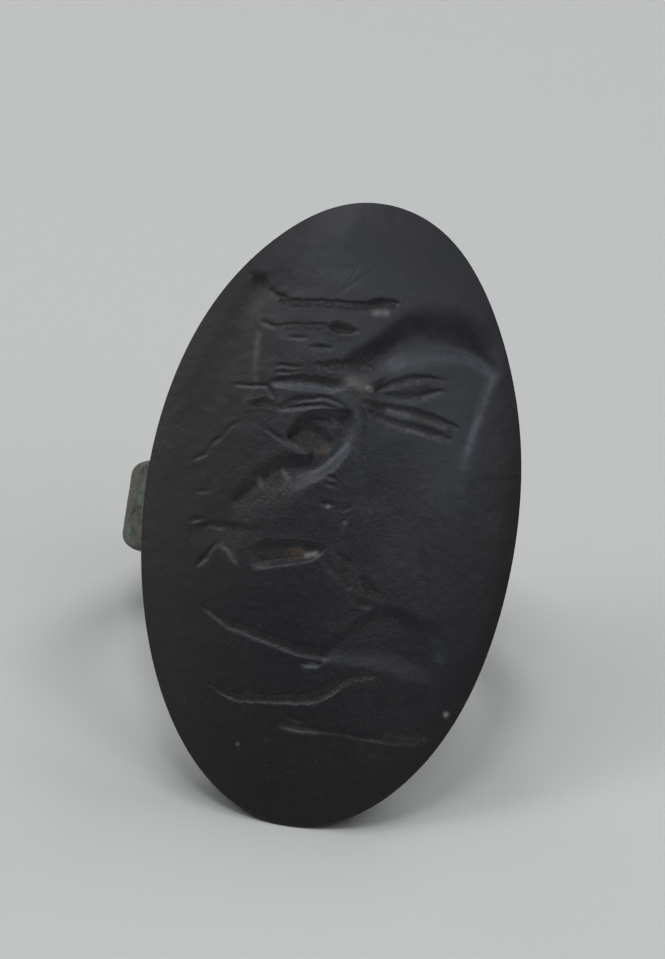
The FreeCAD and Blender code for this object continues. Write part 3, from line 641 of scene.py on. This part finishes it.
def engraved_face():
    """The domed plate with the design cut into it, a fine grid inside and rings round its edge."""
    disc_x, disc_z, faces, edge = face_grid()
    share = np.hypot(disc_x, disc_z)
    grow = 1 + (outline_scale(np.arctan2(disc_z, disc_x)) - 1) * share**4
    x = disc_x * HALF_WIDTH * grow
    z = np.clip(disc_z * HALF_LENGTH * grow, -HALF_LENGTH, HALF_LENGTH)
    hollows, strokes, tight = carve()
    flat = np.stack([x, z, np.zeros_like(x)], 1)
    wander_x = x + WANDER * roughness_of(flat + 7.0, WANDER_GRAIN)
    wander_z = z + WANDER * roughness_of(flat + 21.0, WANDER_GRAIN)
    matter = face_matter(x, z, sampled(tight, wander_x, wander_z))
    y = face_depth(x, z, np.minimum(share, 1))
    y += sampled(hollows, x, z) + sampled(strokes, wander_x, wander_z)
    y += SURFACE_SWELL * roughness_of(flat + 40.0, 2.4, 4)
    y += EARTH_RELIEF * roughness_of(flat, 0.16, 2) * matter["earth"]
    places = [np.stack([x, np.maximum(y, -FACE_CROWN), z], 1)]
    count = len(x)
    size = len(edge)
    rim_x, rim_z = x[edge], z[edge]
    for ring_share, depth in SIDE_RINGS + BACK_RINGS:
        places.append(np.stack([rim_x * ring_share, np.full(size, depth), rim_z * ring_share], 1))
        following = list(range(count, count + size))
        faces += ring_faces(edge, following)
        edge = following
        count += size
    places.append(np.array([[0.0, PLATE_DEPTH, 0.0]]))
    faces += [(edge[k], edge[(k + 1) % size], count) for k in range(size)]
    places = np.vstack(places)
    places[:, 1] += WIDEST
    spare = np.zeros(len(places) - len(x))
    attributes = {**face_zones(x, z, share), **matter}
    attributes = {key: np.append(values, spare) for key, values in attributes.items()}
    return make_mesh("engraved_face_carved", places, faces, attributes)


# Mesh of the hoop
HOOP_STEPS = 480  # round the finger
HOOP_POINTS = 96  # round its section
CORNER_POINTS = 12
END_RINGS = (0.7, 0.4, 0.15)

# How the hoop is eaten into
PIT_DEPTH = 0.3
PIT_START = 0.18  # noise at which a pit starts
GRAIN_DEPTH = 0.02
SWELL_DEPTH = 0.05
INSIDE_WEAR = 0.25  # share of the wear that the inside has


def hoop_section():
    """Radius and place along the finger at even steps round the strip's section."""
    corners = [
        (BORE_RADIUS + INNER_CORNER, HALF_BAND - INNER_CORNER, INNER_CORNER, 180),
        (HOOP_RADIUS - OUTER_CORNER, HALF_BAND - OUTER_CORNER, OUTER_CORNER, 90),
        (HOOP_RADIUS - OUTER_CORNER, OUTER_CORNER - HALF_BAND, OUTER_CORNER, 0),
        (BORE_RADIUS + INNER_CORNER, INNER_CORNER - HALF_BAND, INNER_CORNER, -90),
    ]
    line = []
    for radius, along, corner, start in corners:
        for turn in np.radians(np.linspace(start, start - 90, CORNER_POINTS)):
            line.append((radius + corner * math.cos(turn), along + corner * math.sin(turn)))
    line = np.array(line + line[:1])
    travelled = np.append(0, np.cumsum(np.hypot(*np.diff(line, axis=0).T)))
    steps = np.linspace(0, travelled[-1], HOOP_POINTS, endpoint=False)
    return np.interp(steps, travelled, line[:, 0]), np.interp(steps, travelled, line[:, 1])


def hoop_band():
    """The strip bent round the finger, eaten into here and there, with its two ends under the bezel."""
    radius, along = hoop_section()
    run_radius = np.roll(radius, -1) - np.roll(radius, 1)
    run_along = np.roll(along, -1) - np.roll(along, 1)
    inward = np.stack([run_along, -run_radius]) / np.hypot(run_radius, run_along)
    first = np.arcsin(JOINT_GAP / 2 / radius)
    turn = first + np.linspace(0, 1, HOOP_STEPS + 1)[:, None] * (2 * math.pi - 2 * first)
    places = np.stack([radius * np.sin(turn), -radius * np.cos(turn), along + 0 * turn], 2)
    flat = places.reshape(-1, 3)
    pits = np.clip(roughness_of(flat, 0.8) - PIT_START, 0, 1).reshape(turn.shape)
    grain = (0.5 + 0.5 * roughness_of(flat + 30.0, 0.25, 2)).reshape(turn.shape)
    swell = (0.5 + 0.5 * roughness_of(flat + 60.0, 3.0, 2)).reshape(turn.shape)
    outside = np.clip((radius - BORE_RADIUS) / INNER_CORNER, INSIDE_WEAR, 1)
    eaten = outside * (PIT_DEPTH * pits + GRAIN_DEPTH * grain + SWELL_DEPTH * swell)
    worn_radius = radius + eaten * inward[0]
    worn_along = along + eaten * inward[1]
    places = np.stack([worn_radius * np.sin(turn), -worn_radius * np.cos(turn), worn_along], 2)
    places = places.reshape(-1, 3)
    rows = [list(range(n * HOOP_POINTS, (n + 1) * HOOP_POINTS)) for n in range(HOOP_STEPS + 1)]
    faces = []
    for row, following in zip(rows, rows[1:]):
        faces += ring_faces(row, following)
    for row in (rows[0], rows[-1]):
        end = places[row]
        centre = end.mean(0)
        for share in END_RINGS:
            ring = centre + (end - centre) * share
            following = list(range(len(places), len(places) + HOOP_POINTS))
            places = np.vstack([places, ring])
            faces += ring_faces(row, following)
            row = following
        places = np.vstack([places, centre])
        faces += [(row[k], row[(k + 1) % HOOP_POINTS], len(places) - 1) for k in range(HOOP_POINTS)]
    return make_mesh("hoop_band_worn", places, faces)


def worn_copy(node, name, voxel, wear, grain):
    """A copy of a CAD node with an even mesh, its edges softened and its surface eaten into a little."""
    copy = bpy.data.objects.new(name + "_start", frame["nodes"][node].data.copy())
    bpy.context.scene.collection.objects.link(copy)
    remesh = copy.modifiers.new("remesh", "REMESH")
    remesh.mode = "VOXEL"
    remesh.voxel_size = voxel * MM
    smooth = copy.modifiers.new("smooth", "SMOOTH")
    smooth.factor = 0.5
    smooth.iterations = 6
    mesh = copy.evaluated_get(bpy.context.evaluated_depsgraph_get()).to_mesh()
    to_ring = np.array(TO_RING).T
    places = (np.array([v.co for v in mesh.vertices]) - np.array(BORE_PLACE)) @ to_ring
    normals = np.array([v.normal for v in mesh.vertices]) @ to_ring * MM
    faces = [tuple(p.vertices) for p in mesh.polygons]
    bpy.data.objects.remove(copy)
    eaten = wear * (0.5 + 0.5 * roughness_of(places + 80.0, grain, 3))
    return make_mesh(name, places - normals * eaten[:, None], faces)


def new_material(name):
    """A material with its node tree and its surface shader."""
    material = bpy.data.materials.new(name)
    material.use_nodes = True
    return material, material.node_tree, material.node_tree.nodes["Principled BSDF"]


def feed(tree, socket, value):
    """Puts a number, a colour or another node's output into a socket."""
    if isinstance(value, bpy.types.NodeSocket):
        tree.links.new(value, socket)
    elif isinstance(value, tuple):
        socket.default_value = (*value, 1)
    else:
        socket.default_value = value


def millimetres(tree):
    """The place on the object in millimetres."""
    place = tree.nodes.new("ShaderNodeTexCoord")
    scaled = tree.nodes.new("ShaderNodeVectorMath")
    scaled.operation = "MULTIPLY"
    tree.links.new(place.outputs["Object"], scaled.inputs[0])
    scaled.inputs[1].default_value = [1 / MM] * 3
    return scaled.outputs[0]


def grain_of(tree, size, detail=2.0, shift=0.0):
    """Noise whose blots are about this many millimetres wide, 0 to 1. The shift picks another pattern."""
    texture = tree.nodes.new("ShaderNodeTexNoise")
    texture.noise_dimensions = "4D"
    texture.inputs["W"].default_value = shift
    texture.inputs["Scale"].default_value = 1 / size
    texture.inputs["Detail"].default_value = detail
    texture.inputs["Roughness"].default_value = 0.6
    tree.links.new(millimetres(tree), texture.inputs["Vector"])
    return texture.outputs[0]


def attribute(tree, name):
    """A value that the mesh carries at its points."""
    node = tree.nodes.new("ShaderNodeAttribute")
    node.attribute_name = name
    return node.outputs["Fac"]


def remapped(tree, value, low, high, start=0.0, end=1.0):
    """A value stretched from one range to another, and held inside it."""
    node = tree.nodes.new("ShaderNodeMapRange")
    feed(tree, node.inputs["Value"], value)
    node.inputs["From Min"].default_value = low
    node.inputs["From Max"].default_value = high
    node.inputs["To Min"].default_value = start
    node.inputs["To Max"].default_value = end
    return node.outputs[0]


def combined(tree, operation, a, b):
    """Two values made into one."""
    node = tree.nodes.new("ShaderNodeMath")
    node.operation = operation
    feed(tree, node.inputs[0], a)
    feed(tree, node.inputs[1], b)
    return node.outputs[0]


def mixed(tree, share, a, b):
    """One colour turning into another."""
    node = tree.nodes.new("ShaderNodeMix")
    node.data_type = "RGBA"
    feed(tree, node.inputs[0], share)
    feed(tree, node.inputs[6], a)
    feed(tree, node.inputs[7], b)
    return node.outputs[2]


def bumped(tree, shader, height, millimetre_rise):
    """A height in shares of so many millimetres, felt by the light alone."""
    node = tree.nodes.new("ShaderNodeBump")
    node.inputs["Strength"].default_value = 1.0
    node.inputs["Distance"].default_value = millimetre_rise * MM
    feed(tree, node.inputs["Height"], height)
    tree.links.new(node.outputs[0], shader.inputs["Normal"])


# Other matter on the face, the pale kind also painting a few glints and highlights: the noise at which it
# starts and at which it is full, its least strength inside its place, how much of the metal's colour it
# hides, and its own colour
MATTER = {
    "earth": (0.36, 0.62, 0, 0.7, (0.026, 0.022, 0.015)),
    "rust": (0.34, 0.56, 0, 1, (0.1, 0.055, 0.03)),
    "green": (0.36, 0.6, 0, 1, (0.04, 0.075, 0.072)),
    "pale": (0.3, 0.5, 0.5, 1, (0.19, 0.19, 0.18)),
}


def dark_patina():
    """Blue-black polished patina, with fine specks, earth in the cuts, a few stains, painted highlights and
    glints, and painted shade on the upper rim.
    """
    material, tree, shader = new_material("dark_patina")
    cloud = remapped(tree, grain_of(tree, 2.2, 3.0), 0.35, 0.65)
    colour = mixed(tree, cloud, (0.0072, 0.0068, 0.009), (0.0108, 0.0104, 0.0128))
    drifts = remapped(tree, grain_of(tree, 0.9), 0.25, 0.5, 0.5, 1)
    blue = combined(tree, "MULTIPLY", attribute(tree, "blue"), drifts)
    colour = mixed(tree, blue, (0.0115, 0.0115, 0.0105), colour)
    fine = grain_of(tree, 0.09, 1.0, 3.0)
    patches = remapped(tree, grain_of(tree, 1.3, 2.0, 5.0), 0.4, 0.62, 0.1, 1)
    specks = combined(tree, "MULTIPLY", remapped(tree, fine, 0.6, 0.72), patches)
    colour = mixed(tree, combined(tree, "MULTIPLY", specks, 0.35), colour, (0.06, 0.06, 0.058))
    coarse = grain_of(tree, 0.16, 2.0, 7.0)
    cover = {}
    for kind, (start, full, least, hides, paint) in MATTER.items():
        blots = remapped(tree, coarse, start, full, least, 1)
        cover[kind] = combined(tree, "MULTIPLY", attribute(tree, kind), blots)
        colour = mixed(tree, combined(tree, "MULTIPLY", cover[kind], hides), colour, paint)
    # Painted highlight: lighter bluish colour along the walls and crests that catch the light, broken up a
    # little
    patchy = remapped(tree, grain_of(tree, 0.25, 3.0, 18.0), 0.2, 0.6, 0.5, 1)
    painted_highlight = combined(tree, "MULTIPLY", attribute(tree, "painted_highlight"), patchy)
    colour = mixed(tree, painted_highlight, colour, (0.065, 0.074, 0.092))
    feed(tree, shader.inputs["Base Color"], colour)
    dull = combined(tree, "MAXIMUM", cover["rust"], cover["green"])
    dull = combined(tree, "MAXIMUM", cover["earth"], dull)
    feed(tree, shader.inputs["Roughness"], remapped(tree, dull, 0, 0.6, 0.38, 0.75))
    tint = mixed(tree, cloud, (0.83, 0.885, 1.0), (0.87, 0.885, 1.0))
    tint = mixed(tree, blue, (0.95, 0.965, 0.96), tint)
    # Painted shade: the reflections dimmed towards the upper rim, more on the left
    painted_rim_shade = combined(tree, "MULTIPLY", attribute(tree, "painted_rim_shade"), 0.8)
    feed(tree, shader.inputs["Specular Tint"], mixed(tree, painted_rim_shade, tint, (0.3, 0.31, 0.33)))
    gritty = attribute(tree, "gritty")
    grains = grain_of(tree, 0.3, 3.0, 9.0)
    grains = combined(tree, "MULTIPLY", grains, remapped(tree, gritty, 0, 1, 1.2, 2.6))
    fine = combined(tree, "MULTIPLY", fine, remapped(tree, gritty, 0, 1, 0.35, 1.1))
    height = combined(tree, "ADD", fine, grains)
    grit = combined(tree, "MULTIPLY", attribute(tree, "earth"), grain_of(tree, 0.13, 3.0, 15.0))
    height = combined(tree, "ADD", height, combined(tree, "MULTIPLY", grit, 9.0))
    bumped(tree, shader, height, 0.007)
    return material


def green_bronze():
    """Weathered bronze: olive-grey metal under patches of verdigris and brown rust-like crust."""
    material, tree, shader = new_material("green_bronze")
    cloud = remapped(tree, grain_of(tree, 0.5, 3.0), 0.35, 0.65)
    body = mixed(tree, cloud, (0.048, 0.046, 0.034), (0.1, 0.096, 0.074))
    crust = remapped(tree, grain_of(tree, 1.1, 3.0, 11.0), 0.5, 0.6)
    colour = mixed(tree, crust, body, (0.14, 0.185, 0.16))
    brown = remapped(tree, grain_of(tree, 0.8, 3.0, 14.0), 0.58, 0.66)
    colour = mixed(tree, brown, colour, (0.17, 0.085, 0.045))
    dark = remapped(tree, grain_of(tree, 0.35, 2.0, 17.0), 0.6, 0.7)
    colour = mixed(tree, dark, colour, (0.035, 0.033, 0.028))
    feed(tree, shader.inputs["Base Color"], colour)
    feed(tree, shader.inputs["Roughness"], remapped(tree, crust, 0, 1, 0.55, 0.85))
    height = combined(tree, "ADD", grain_of(tree, 0.12, 3.0, 20.0), crust)
    bumped(tree, shader, height, 0.03)
    return material


def dull_bronze():
    """The backing's brown-black patina, dusted with grey-green in places."""
    material, tree, shader = new_material("dull_bronze")
    cloud = remapped(tree, grain_of(tree, 1.5, 3.0, 2.0), 0.35, 0.65)
    colour = mixed(tree, cloud, (0.028, 0.026, 0.024), (0.05, 0.045, 0.038))
    dust = remapped(tree, grain_of(tree, 0.9, 4.0, 4.0), 0.52, 0.68, 0, 0.7)
    colour = mixed(tree, dust, colour, (0.10, 0.12, 0.1))
    feed(tree, shader.inputs["Base Color"], colour)
    feed(tree, shader.inputs["Roughness"], remapped(tree, dust, 0, 0.7, 0.55, 0.85))
    bumped(tree, shader, grain_of(tree, 0.2, 3.0, 6.0), 0.04)
    return material


def old_solder():
    """Tin solder gone grey-brown, with pale lead-like bloom."""
    material, tree, shader = new_material("old_solder")
    cloud = remapped(tree, grain_of(tree, 0.7, 3.0, 8.0), 0.35, 0.65)
    colour = mixed(tree, cloud, (0.065, 0.064, 0.058), (0.14, 0.138, 0.125))
    bloom = remapped(tree, grain_of(tree, 0.4, 3.0, 10.0), 0.58, 0.7, 0, 0.6)
    colour = mixed(tree, bloom, colour, (0.25, 0.25, 0.225))
    feed(tree, shader.inputs["Base Color"], colour)
    feed(tree, shader.inputs["Roughness"], remapped(tree, bloom, 0, 0.6, 0.5, 0.8))
    bumped(tree, shader, grain_of(tree, 0.25, 2.0, 12.0), 0.03)
    return material


def table_paper():
    """Matt pale paper with a hardly visible tooth."""
    material, tree, shader = new_material("table_paper")
    tooth = grain_of(tree, 0.12, 2.0, 1.0)
    spots = remapped(tree, tooth, 0.3, 0.7)
    colour = mixed(tree, spots, (0.665, 0.684, 0.681), (0.685, 0.704, 0.701))
    feed(tree, shader.inputs["Base Color"], colour)
    shader.inputs["Roughness"].default_value = 0.95
    bumped(tree, shader, tooth, 0.01)
    return material


TABLE_SIZE = 6


def make_stage():
    """The table, far wider than the picture."""
    bpy.ops.mesh.primitive_plane_add(size=TABLE_SIZE)
    floor = bpy.context.object
    floor.name = "table_top"
    floor.data.materials.append(table_paper())


def add_piece(piece, node, material):
    """Gives a visible piece its finish, hangs it on the ring's body and hides the CAD node that it stands
    for.
    """
    piece.data.materials.append(material)
    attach(piece, "root")
    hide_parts(node)


def repaint(node, material):
    """Gives a CAD node that stays in view its finish."""
    piece = frame["nodes"][node]
    piece.data.materials.clear()
    piece.data.materials.append(material)


# Round lamps about the ring's middle, at one distance: degrees to the right of the front, degrees up, size
# and power
LAMP_DISTANCE = 0.6
RING_MIDDLE = Vector((0, 0, 10 * MM))
SMALL = 0.14
LARGE = 0.36
LAMPS = {
    "key": (-22, 62, SMALL, 0.5),
    "left": (-60, 50, LARGE, 0.5),
    "left_spot": (-60, 40, SMALL, 0.29),
    "top": (0, 88, LARGE, 0.33),
    "high_back_left": (-135, 72, SMALL, 0.22),
    "back_left": (-150, 50, LARGE, 0.3),
    "back_right": (150, 50, LARGE, 0.85),
    "right": (25, 50, LARGE, 0.4),
    "far_right": (60, 50, LARGE, 0.2),
    "low_left": (-30, 25, LARGE, 0.12),
    "low_right": (30, 25, LARGE, 0.07),
}
ROOM_LIGHT = 0.02


def outward(azimuth, elevation):
    """The direction away from the ring, so many degrees to the right of its front and so many up."""
    turn, rise = math.radians(azimuth), math.radians(elevation)
    return Vector((math.sin(turn) * math.cos(rise), -math.cos(turn) * math.cos(rise), math.sin(rise)))


def make_lamp(name, azimuth, elevation, size, power):
    """A round soft lamp that looks at the ring."""
    data = bpy.data.lights.new(name, "AREA")
    data.shape = "DISK"
    data.size = size
    data.energy = power
    away = outward(azimuth, elevation)
    lamp = bpy.data.objects.new(name, data)
    lamp.location = away * LAMP_DISTANCE + RING_MIDDLE
    lamp.rotation_euler = (-away).to_track_quat("-Z", "Y").to_euler()
    bpy.context.scene.collection.objects.link(lamp)


# The photograph, in its own pixels
PHOTO_WIDTH = 665
PHOTO_HEIGHT = 959
BEZEL_PIXEL = (332.5, 512.9)
PIXELS_PER_MM = 23.37
BEZEL_TILT = math.radians(8.09)
VIEW_AZIMUTH = -3.65
VIEW_ELEVATION = 27.1
LENS = 200.0
SENSOR = 36.0


def make_camera():
    """A long lens at the photograph's angle, turned so that the bezel leans as it does there."""
    data = bpy.data.cameras.new("camera")
    data.lens = LENS
    data.sensor_width = SENSOR
    data.clip_start = 0.01
    camera = bpy.data.objects.new("camera", data)
    bpy.context.scene.collection.objects.link(camera)
    bpy.context.scene.camera = camera
    pixels = PHOTO_HEIGHT * LENS / SENSOR
    centre = BORE_PLACE + TO_WORLD @ Vector((0, WIDEST, 0))
    back = outward(VIEW_AZIMUTH, VIEW_ELEVATION)
    place = centre + back * (pixels / PIXELS_PER_MM) * MM
    right = Vector((0, 0, 1)).cross(back).normalized()
    up = back.cross(right)
    leaning = math.atan2(ALONG.dot(right), ALONG.dot(up))
    cos, sin = math.cos(leaning - BEZEL_TILT), math.sin(leaning - BEZEL_TILT)
    right, up = right * cos - up * sin, up * cos + right * sin
    across = (BEZEL_PIXEL[0] - PHOTO_WIDTH / 2) / pixels
    above = (PHOTO_HEIGHT / 2 - BEZEL_PIXEL[1]) / pixels
    back = (back + right * across + up * above).normalized()
    right = (right - back * right.dot(back)).normalized()
    up = back.cross(right)
    rotation = Matrix((right, up, back)).transposed().to_4x4()
    camera.matrix_world = Matrix.Translation(place) @ rotation


backing = dull_bronze()
solder = old_solder()
add_piece(engraved_face(), "engraved_face", dark_patina())
add_piece(hoop_band(), "hoop_band", green_bronze())
back_plate = worn_copy("bezel_back", "bezel_back_worn", 0.12, 0.06, 0.6)
add_piece(back_plate, "bezel_back", backing)
for side in ("left", "right"):
    bead = worn_copy(side + "_shoulder_solder", side + "_shoulder_bead", 0.06, 0.09, 0.5)
    add_piece(bead, side + "_shoulder_solder", solder)
repaint("face_solder_layer", solder)
repaint("hoop_joint_solder", solder)

make_stage()
for name, placing in LAMPS.items():
    make_lamp(name, *placing)
world = bpy.data.worlds.new("studio")
bpy.context.scene.world = world
world.use_nodes = True
room = world.node_tree.nodes["Background"]
room.inputs["Color"].default_value = (1, 1, 1, 1)
room.inputs["Strength"].default_value = ROOM_LIGHT
make_camera()
bpy.context.scene.view_settings.view_transform = "Standard"
